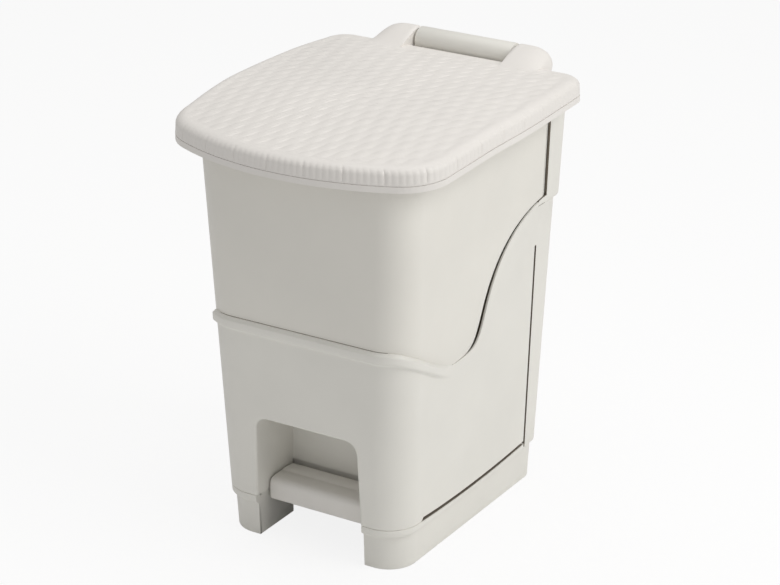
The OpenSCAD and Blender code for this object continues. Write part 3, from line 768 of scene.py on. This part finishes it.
def roof_boss(x):
    start = (x, HINGE_SCREW_Y, ROOF_Z - ROOF_BOSS_H)
    boss = rod_mesh("boss", BOSS_R, start, (x, HINGE_SCREW_Y, ROOF_Z - 3.5))
    drill_roof(boss, PILOT_R, x, HINGE_SCREW_Y)
    return boss


def rear_column():
    column = solid("rear_column_moulding", column_rings())
    open_column(column)
    parts = [column_deck()]
    parts += [guide_boss(side * GUIDE_X, z) for z in GUIDE_ZS for side in (-1, 1)]
    for x in HINGE_XS:
        drill_roof(column, PILOT_R, x, HINGE_SCREW_Y)
        parts.append(roof_boss(x))
    drill_roof(column, TOP_WAY_R, 0, ROD_TOP_Y)
    join(column, parts)
    return column


def barrel_ring(x, r):
    turns = [2 * math.pi * i / BARREL_SIDES for i in range(BARREL_SIDES)]
    return [(x, HINGE_Y + r * math.cos(a), HINGE_Z + r * math.sin(a)) for a in turns]


def hinge_block():
    """Fixed barrel on a neck and a plate, with the pins' ways and a notch for the rod."""
    half = BARREL_HALF
    ends = ((0, 1.0), (0.3, 0.3), (1, 0))
    bars = [barrel_ring(step - half, BARREL_R - inset) for step, inset in ends]
    bars += [barrel_ring(half - step, BARREL_R - inset) for step, inset in reversed(ends)]
    block = solid("hinge_block_moulding", bars)
    for side in (-1, 1):
        start = (side * PIN_START, HINGE_Y, HINGE_Z)
        drill(block, PIN_WAY_R, start, (side * (half + 4), HINGE_Y, HINGE_Z))
    neck = soft_box("neck", (-half, HINGE_Y - NECK_FRONT, ROOF_Z),
                    (half, HINGE_Y + NECK_BACK, HINGE_Z), BLOCK_R)
    plate = soft_box("plate", (-half, HINGE_Y - PLATE_FRONT, ROOF_Z),
                     (half, HINGE_Y + PLATE_BACK, ROOF_Z + FLANGE), BLOCK_R)
    cut(plate, box_mesh("rod_notch", (-NOTCH_HALF, HINGE_Y - NOTCH_FRONT, ROOF_Z - 1),
                        (NOTCH_HALF, HINGE_Y - NECK_FRONT, ROOF_Z + NOTCH_H)))
    for x in HINGE_XS:
        drill_roof(plate, PILOT_R, x, HINGE_SCREW_Y)
    join(block, [neck, plate])
    return block


# Lid

LID_HALF = 150.0
LID_FRONT = 193.0
LID_BOW_R = 280.0
LID_REAR = 152.0
LID_FRONT_R = 52.0
LID_REAR_R = 26.0
LIP_TOP = 418.0
LID_TOP = 435.0
LID_CROWN = 5.0
SIDE_BOW = 7.0
LID_ARCH = 9.5
ARCH_BACK = 2.5
SKIN = 2.4
LUG_START = 58.0
LUG_L = 40.0
LUG_TIP_R = 5.5


def arc(cx, cy, r, a0, a1, n):
    return [(cx + r * math.cos(a0 + (a1 - a0) * i / n), cy + r * math.sin(a0 + (a1 - a0) * i / n))
            for i in range(n + 1)]


def arch(y):
    """How far the arched lid is lifted at depth y."""
    front = LID_ARCH * smooth(-LID_FRONT + 18, -30, y)
    return front - ARCH_BACK * smooth(60, LID_REAR, y)


def side_bow(y, y0, y1):
    t = min(max((y - y0) / (y1 - y0), -0.2), 1.2)
    return max(SIDE_BOW * (1 - (2 * t - 1) ** 2), 0.0)


def lid_outline(inset, count):
    """The lid's outline with count points spaced evenly along it."""
    corner_x = LID_HALF - LID_FRONT_R
    bow_y = LID_BOW_R - LID_FRONT
    corner_y = bow_y - math.sqrt((LID_BOW_R - LID_FRONT_R) ** 2 - corner_x ** 2)
    turn = math.atan2(bow_y - corner_y, corner_x)
    back_x = LID_HALF - 2 - LID_REAR_R
    dense = arc(0, bow_y, LID_BOW_R - inset, turn - math.pi, -turn, 120)
    dense += arc(corner_x, corner_y, LID_FRONT_R - inset, -turn, 0, 40)
    rear = max(LID_REAR_R - inset, 1)
    dense += arc(back_x, LID_REAR - LID_REAR_R, rear, 0, math.pi / 2, 24)
    dense += arc(-back_x, LID_REAR - LID_REAR_R, rear, math.pi / 2, math.pi, 24)
    dense += arc(-corner_x, corner_y, LID_FRONT_R - inset, math.pi, math.pi + turn, 40)
    y0, y1 = corner_y, LID_REAR - LID_REAR_R
    marked = []
    for p, q in zip(dense, dense[1:] + dense[:1]):
        marked.append(p)
        if abs(p[0]) > corner_x and math.dist(p, q) > 20 and p[0] * q[0] > 0:
            marked += [(p[0] + (q[0] - p[0]) * i / 40, p[1] + (q[1] - p[1]) * i / 40)
                       for i in range(1, 40)]
    return spaced([(x + math.copysign(side_bow(y, y0, y1), x), y) for x, y in marked], count)


def spaced(line, count):
    """count points spaced evenly along the closed line."""
    line = line + line[:1]
    lengths = [0.0]
    for p, q in zip(line, line[1:]):
        lengths.append(lengths[-1] + math.dist(p, q))
    result = []
    j = 0
    for i in range(count):
        s = lengths[-1] * i / count
        while lengths[j + 1] < s:
            j += 1
        t = (s - lengths[j]) / max(lengths[j + 1] - lengths[j], 1e-9)
        (x0, y0), (x1, y1) = line[j], line[j + 1]
        result.append((x0 + (x1 - x0) * t, y0 + (y1 - y0) * t))
    return result


# Lid's weave and ribbed rim

WEAVE_TURN = math.radians(66)
STRAND_PITCH = 11.0
HUMP_PITCH = 27.0
WEAVE_RELIEF = 1.2
LID_COUNT = 1080
LID_MIDDLE_Y = (LID_REAR - LID_FRONT) / 2
RIM_RIBS = 180
RIB_DEPTH = 1.05
RIM_RISE = 9.4
SHOULDER_W = 11.0


def weave(x, y):
    """Height of the basket weave: strands side by side, each humped between its neighbours."""
    u = x * math.cos(WEAVE_TURN) + y * math.sin(WEAVE_TURN)
    v = -x * math.sin(WEAVE_TURN) + y * math.cos(WEAVE_TURN)
    v += 0.6 * math.sin(u / 31)
    row = math.floor(v / STRAND_PITCH)
    across = (v / STRAND_PITCH - row) * 2 - 1
    strand = math.sqrt(max(1 - across * across * 0.86, 0))
    wave = 0.5 + 0.5 * math.cos(2 * math.pi * (u / HUMP_PITCH + 0.5 * (row % 2)))
    strands = 0.14 * math.cos(across * math.pi * 3)
    return strand * (0.35 + 0.65 * wave) + strands * wave


def rib(s, count):
    """Height of the rim's upright ribs, with every sixth groove deeper."""
    phase = s * count
    groove = abs(math.sin(math.pi * phase))
    deep = 1.0 if int(phase + 0.5) % 6 == 0 else 0.45
    return (1 - groove ** 0.7) * deep


def rim_profile():
    """Profile from the rim's lower edge over the shoulder, as inset and height."""
    profile = [(1.2, LIP_TOP), (0.5, LIP_TOP + 0.4), (0.2, LIP_TOP + 1.2)]
    profile += [(0.2 + 0.4 * i / 6, LIP_TOP + 1.2 + 8.2 * i / 6) for i in range(1, 7)]
    rise = LID_TOP - LIP_TOP - RIM_RISE
    steps = 9
    for i in range(1, steps + 1):
        a = math.pi / 2 * i / steps
        profile.append((0.6 + SHOULDER_W * (1 - math.cos(a)), LIP_TOP + RIM_RISE + rise * math.sin(a)))
    return profile


def rim_ring(inset, z):
    """Ring of the rim, with its grooves."""
    fade = smooth(LIP_TOP + 0.6, LIP_TOP + 3, z) * (1 - smooth(LID_TOP - 3, LID_TOP, z))
    ring = []
    for k, (x, y) in enumerate(lid_outline(inset, LID_COUNT)):
        groove = RIB_DEPTH * rib(k / LID_COUNT, RIM_RIBS) * fade
        dy = y - LID_MIDDLE_Y
        length = math.hypot(x, dy)
        ring.append((x - x / length * groove, y - dy / length * groove, z))
    return ring


def crown_ring(edge, t):
    """Woven ring at the share t of the way out to the edge, plain at the back from lug to lug."""
    crown = LID_CROWN * (1 - t ** 2.6)
    fade = smooth(0.0, 0.035, 1 - t)
    ring = []
    for x, y in edge:
        px = x * t
        py = LID_MIDDLE_Y + (y - LID_MIDDLE_Y) * t
        at_back = smooth(LID_REAR - 26, LID_REAR - 14, py)
        by_lugs = smooth(LUG_START + LUG_L + 8, LUG_START + LUG_L - 4, abs(px))
        lift = WEAVE_RELIEF * (weave(px, py) - 1) * fade * (1 - at_back * by_lugs)
        ring.append((px, py, LID_TOP + crown + lift))
    return ring


def lid_cover():
    profile = rim_profile()
    rings = [rim_ring(inset, z) for inset, z in profile]
    edge = lid_outline(profile[-1][0], LID_COUNT)
    steps = 84
    rings += [crown_ring(edge, 1 - i / steps) for i in range(1, steps)]
    inner = [(SKIN + 1, LIP_TOP), (SKIN + 1.4, LID_TOP - 6), (SHOULDER_W + 4, LID_TOP - SKIN - 0.6)]
    under = [[(x, y, z) for x, y in lid_outline(inset, LID_COUNT)] for inset, z in inner]
    under.append([(x * 0.5, LID_MIDDLE_Y + (y - LID_MIDDLE_Y) * 0.5, LID_TOP + LID_CROWN - SKIN - 2)
                  for x, y in lid_outline(0, LID_COUNT)])
    arched = [[(x, y, z + arch(y)) for x, y, z in ring] for ring in under[::-1] + rings]
    return loft("lid_cover_weave", arched)


def lug_ring(x, r, reach):
    """Two thirds of a turn about the lug's axis, then a slope down to the lid."""
    axis_y = HINGE_Y - (BARREL_R - r) * 0.9
    axis_z = HINGE_Z - (BARREL_R - r) * 0.9
    ring = []
    for k in range(19):
        a = math.radians(-150 + 240 * k / 18)
        ring.append((x, axis_y + r * math.cos(a), axis_z + r * math.sin(a)))
    top = axis_z + r
    lifted = arch(LID_REAR)
    land_z = LID_TOP + 1.0 + lifted
    for k in range(1, 9):
        u = k / 8
        y = axis_y - (reach + axis_y - LID_REAR) * u
        z = land_z + (top - land_z) * (1 - smooth(0.0, 1.0, u))
        ring.append((x, y, z))
    ring.append((x, LID_REAR - reach, LIP_TOP + 9 + lifted))
    ring.append((x, LID_REAR - 3, LIP_TOP + 3 + lifted))
    return ring


def lug(side):
    """Hinge lug: round about the hinge line, drawn forward into the lid's top."""
    rows = []
    steps = 22
    for i in range(steps + 1):
        t = i / steps
        swell = math.sqrt(max(1 - max((t - 0.3) / 0.7, 0) ** 2.4, 0.0))
        eased = min(1.0, 0.93 + 0.07 * t * steps / 1.5)
        r = (LUG_TIP_R + (BARREL_R - LUG_TIP_R) * swell) * eased
        rows.append(lug_ring(side * (LUG_START + LUG_L * t), r, 20 + 10 * swell))
    return solid("lug", rows)


# Pedal tread

TREAD_NOSE_R = 7.0
TREAD_EDGE_R = 2.5
TREAD_WALL = 3.0
TREAD_TOP_WALL = 3.4


def tread_profile(front, back, under, top):
    """Side view of the tread with the groove behind its nose, as depth and height."""
    r = TREAD_NOSE_R
    profile = [(front + 1.5, under), (front, under + 1.5)]
    for i in range(9):
        a = math.pi / 2 * i / 8
        profile.append((front + r - r * math.cos(a), top - 0.6 - r + r * math.sin(a)))
    profile += [(front + 20, top - 0.1), (front + 21.2, top - 0.9), (front + 22.6, top - 0.9)]
    profile += [(front + 24, top), ((front + back) / 2 + 8, top), (back - 2.2, top - 1.2)]
    profile += [(back, top - 3.4), (back, under + 7.5), (back - 1.5, under + 6)]
    return profile


def pedal_tread():
    low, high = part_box("pedal_tread")
    half = high.x / MM
    front = low.y / MM - CENTRE_Y
    back = high.y / MM - CENTRE_Y
    under = low.z / MM
    top = high.z / MM
    profile = tread_profile(front, back, under, top)
    middle_y = (front + back) / 2
    middle_z = (top + under) / 2

    def ring(side, a):
        x = side * (half - TREAD_EDGE_R + TREAD_EDGE_R * math.cos(a))
        draw = TREAD_EDGE_R * (1 - math.sin(a))
        sy = 1 - draw / (back - front) * 2
        sz = 1 - draw / (top - under) * 2
        return [(x, middle_y + (y - middle_y) * sy, middle_z + (z - middle_z) * sz) for y, z in profile]

    turns = [math.pi / 2 * i / 5 for i in range(6)]
    tread = solid("pedal_tread_moulding", [ring(-1, a) for a in turns] + [ring(1, a) for a in turns[::-1]])
    cut(tread, box_mesh("tread_hollow", (-half + TREAD_WALL, front + TREAD_WALL, under - 5),
                        (half - TREAD_WALL, back - TREAD_WALL, top - TREAD_TOP_WALL)))
    return tread


# Materials

GRAIN_DEPTH = 0.0004
PLASTIC_IOR = 1.49


def material(name, colour, rough, tint=0.03, grain=900.0, bump=0.05, metal=0.0):
    """Moulded plastic or plated metal: faint clouding, fine grain and uneven gloss."""
    mat = bpy.data.materials.new(name)
    mat.use_nodes = True
    tree = mat.node_tree
    shader = tree.nodes["Principled BSDF"]
    shader.inputs["Metallic"].default_value = metal
    shader.inputs["IOR"].default_value = PLASTIC_IOR
    where = tree.nodes.new("ShaderNodeTexCoord")

    def noise(scale, detail, rough_value=0.5):
        node = tree.nodes.new("ShaderNodeTexNoise")
        node.inputs["Scale"].default_value = scale
        node.inputs["Detail"].default_value = detail
        node.inputs["Roughness"].default_value = rough_value
        tree.links.new(where.outputs["Object"], node.inputs["Vector"])
        return node.outputs["Fac"]

    def ramp(source, low, high):
        node = tree.nodes.new("ShaderNodeMapRange")
        node.inputs["To Min"].default_value = low
        node.inputs["To Max"].default_value = high
        node.inputs["From Min"].default_value = 0.3
        node.inputs["From Max"].default_value = 0.7
        tree.links.new(source, node.inputs["Value"])
        return node.outputs["Result"]

    mix = tree.nodes.new("ShaderNodeMix")
    mix.data_type = "RGBA"
    mix.inputs["A"].default_value = tuple(c * (1 - tint) for c in colour) + (1,)
    mix.inputs["B"].default_value = tuple(min(c * (1 + tint * 0.6), 1) for c in colour) + (1,)
    tree.links.new(ramp(noise(9, 4), 0, 1), mix.inputs["Factor"])
    tree.links.new(mix.outputs["Result"], shader.inputs["Base Color"])
    tree.links.new(ramp(noise(60, 3), rough - 0.05, rough + 0.06), shader.inputs["Roughness"])
    relief = tree.nodes.new("ShaderNodeBump")
    relief.inputs["Strength"].default_value = bump
    relief.inputs["Distance"].default_value = GRAIN_DEPTH
    tree.links.new(noise(grain, 3, 0.6), relief.inputs["Height"])
    tree.links.new(relief.outputs["Normal"], shader.inputs["Normal"])
    return mat


casing_mat = material("casing_plastic_mat", (0.80, 0.785, 0.735), 0.42)
bucket_mat = material("bucket_plastic_mat", (0.795, 0.775, 0.72), 0.4)
lid_mat = material("lid_plastic_mat", (0.83, 0.80, 0.765), 0.46, bump=0.08)
pedal_mat = material("pedal_plastic_mat", (0.82, 0.795, 0.755), 0.44, bump=0.1)
grey_mat = material("grey_plastic_mat", (0.33, 0.33, 0.315), 0.5)
steel_mat = material("steel_mat", (0.56, 0.57, 0.58), 0.3, metal=1.0, grain=1600)
# Dark tone painted on faces behind the slits: painted shade, not a colour of the plastic itself.
painted_shade_mat = material("painted_shade_plastic_mat", (0.20, 0.17, 0.135), 0.6, tint=0.1)

SLOT_MATERIALS = {
    "casing_plastic": casing_mat,
    "bucket_plastic": bucket_mat,
    "lid_plastic": lid_mat,
    "pedal_plastic": pedal_mat,
    "grey_plastic": grey_mat,
    "steel": steel_mat,
}


def dress_nodes():
    """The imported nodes' finish, in every material slot that they bring."""
    for part in frame["record"]["subparts"]:
        slots = nodes[part["node"]].data.materials
        mat = SLOT_MATERIALS[part["material_slot"]]
        if len(slots) == 0:
            slots.append(mat)
        for i in range(len(slots)):
            slots[i] = mat


def finish_piece(obj, body, slot, mat, *replaced):
    shade(obj)
    obj.data.materials.clear()
    obj.data.materials.append(mat)
    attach(obj, body)
    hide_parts(*replaced)


def paint_shade(obj, in_shade):
    """Painted shade: the dark seam tone put on the faces whose middle and direction pass the test, where
    the slits fall into shade.
    """
    obj.data.materials.append(painted_shade_mat)
    for face in obj.data.polygons:
        middle = face.center / MM
        if in_shade(middle.x, middle.y - CENTRE_Y, middle.z, face.normal):
            face.material_index = 1


def bucket_seam_shade(x, y, z, normal):
    """Painted shade on the bucket behind the slit along the shell's curved edge."""
    outward = normal.x * x + normal.y * y > 0 or normal.z < -0.9
    below = z < max(edge_z(y, -CURVE_GAP), edge_z(y)) + 0.7
    return outward and below and (z > NICHE_H + 15 or abs(x) > NICHE_W / 2 + 8)


def base_seam_shade(x, y, z, normal):
    """Painted shade on the base behind the slit under the shell's sides."""
    side = half_x(z) - NEST - 1.5 < abs(x) < half_x(z) - 0.8 and SAG_FULL_Y - 2 < y < SHELL_END_Y
    return side and z > BASE_H - SLIT_SAG - 1 and (normal.z > 0.9 or normal.x * x > 0)


def column_seam_shade(x, y, z, normal):
    """Painted shade on the column's edge behind the slits at its front."""
    face = normal.y < -0.7 and y < COLUMN_FRONT_Y + 1 and z < ROOF_Z - 1
    ledge = normal.z > 0.5 and y < COLUMN_FRONT_Y + 0.5 and z < KINK_Z + 1
    return face or ledge


def build_pieces():
    dress_nodes()
    finish_piece(front_shell(), "casing", "casing_plastic", casing_mat, "front_shell")
    pail = bucket()
    finish_piece(pail, "casing", "bucket_plastic", bucket_mat, "bucket")
    # Painted shade on the bucket's faces behind the curved slit.
    paint_shade(pail, bucket_seam_shade)
    base = base_frame()
    finish_piece(base, "casing", "casing_plastic", casing_mat, "base_frame")
    # Painted shade on the base's faces behind the side slit.
    paint_shade(base, base_seam_shade)
    column = rear_column()
    finish_piece(column, "casing", "casing_plastic", casing_mat, "rear_column")
    # Painted shade on the column's faces behind its front slits.
    paint_shade(column, column_seam_shade)
    finish_piece(hinge_block(), "casing", "casing_plastic", casing_mat, "hinge_block")
    cover = lid_cover()
    join(cover, [lug(-1), lug(1)])
    finish_piece(cover, "lid", "lid_plastic", lid_mat, "lid_cover")
    finish_piece(pedal_tread(), "pedal", "pedal_plastic", pedal_mat, "pedal_tread")


# Stage, light and camera

CAMERA_POSITION = (1.3142, -2.1079, 1.2658)
CAMERA_TARGET = (-0.00428, 0.02908, 0.22160)
LENS = 124.22
FLOOR_SIZE = 12.0
FLOOR_GLOW = 0.86
AMBIENT_COLOUR = (1.0, 0.995, 0.985, 1)
AMBIENT_STRENGTH = 0.42

# Name, position, side in metres, power in watts and colour
LIGHTS = (
    ("key", (2.2, 0.2, 1.9), 1.6, 30, (1.0, 0.995, 0.98)),
    ("top", (-0.2, 0.2, 2.6), 2.2, 20, (1.0, 0.99, 0.98)),
)
LIGHT_TARGET = (0, 0, 0.25)


def backdrop_material():
    """Pale floor that keeps the shadow and reads as white away from it."""
    mat = bpy.data.materials.new("floor_mat")
    mat.use_nodes = True
    tree = mat.node_tree
    shader = tree.nodes["Principled BSDF"]
    shader.inputs["Base Color"].default_value = (0.97, 0.97, 0.97, 1)
    shader.inputs["Roughness"].default_value = 0.9
    glow = tree.nodes.new("ShaderNodeEmission")
    path = tree.nodes.new("ShaderNodeLightPath")
    share = tree.nodes.new("ShaderNodeMath")
    share.operation = "MULTIPLY"
    share.inputs[1].default_value = FLOOR_GLOW
    mix = tree.nodes.new("ShaderNodeMixShader")
    tree.links.new(path.outputs["Is Camera Ray"], share.inputs[0])
    tree.links.new(share.outputs[0], mix.inputs["Fac"])
    tree.links.new(shader.outputs["BSDF"], mix.inputs[1])
    tree.links.new(glow.outputs["Emission"], mix.inputs[2])
    tree.links.new(mix.outputs["Shader"], tree.nodes["Material Output"].inputs["Surface"])
    return mat


def stage():
    bpy.ops.mesh.primitive_plane_add(size=FLOOR_SIZE, location=(0, 0, 0))
    floor = bpy.context.object
    floor.name = "floor"
    floor.data.materials.append(backdrop_material())


def aim(obj, position, target):
    obj.location = position
    direction = Vector(target) - Vector(position)
    obj.rotation_euler = direction.to_track_quat("-Z", "Y").to_euler()


def area_light(name, position, side, power, colour):
    data = bpy.data.lights.new(name, "AREA")
    data.shape = "RECTANGLE"
    data.size = side
    data.size_y = side
    data.energy = power
    data.color = colour
    light = bpy.data.objects.new(name, data)
    bpy.context.scene.collection.objects.link(light)
    aim(light, position, LIGHT_TARGET)


def lights():
    for name, position, side, power, colour in LIGHTS:
        area_light(name, position, side, power, colour)


def surroundings():
    """Soft light from all sides, with a white backdrop for the camera alone."""
    world = bpy.data.worlds.new("studio")
    bpy.context.scene.world = world
    world.use_nodes = True
    tree = world.node_tree
    background = tree.nodes["Background"]
    background.inputs["Color"].default_value = AMBIENT_COLOUR
    background.inputs["Strength"].default_value = AMBIENT_STRENGTH
    seen = tree.nodes.new("ShaderNodeBackground")
    seen.inputs["Color"].default_value = (1, 1, 1, 1)
    seen.inputs["Strength"].default_value = 1.0
    path = tree.nodes.new("ShaderNodeLightPath")
    mix = tree.nodes.new("ShaderNodeMixShader")
    tree.links.new(path.outputs["Is Camera Ray"], mix.inputs["Fac"])
    tree.links.new(background.outputs["Background"], mix.inputs[1])
    tree.links.new(seen.outputs["Background"], mix.inputs[2])
    tree.links.new(mix.outputs["Shader"], tree.nodes["World Output"].inputs["Surface"])


def camera():
    data = bpy.data.cameras.new("camera")
    data.sensor_width = 36
    data.sensor_fit = "HORIZONTAL"
    data.lens = LENS
    obj = bpy.data.objects.new("camera", data)
    bpy.context.scene.collection.objects.link(obj)
    aim(obj, CAMERA_POSITION, CAMERA_TARGET)
    bpy.context.scene.camera = obj


bpy.context.scene.view_settings.view_transform = "Standard"
build_pieces()
stage()
lights()
surroundings()
camera()
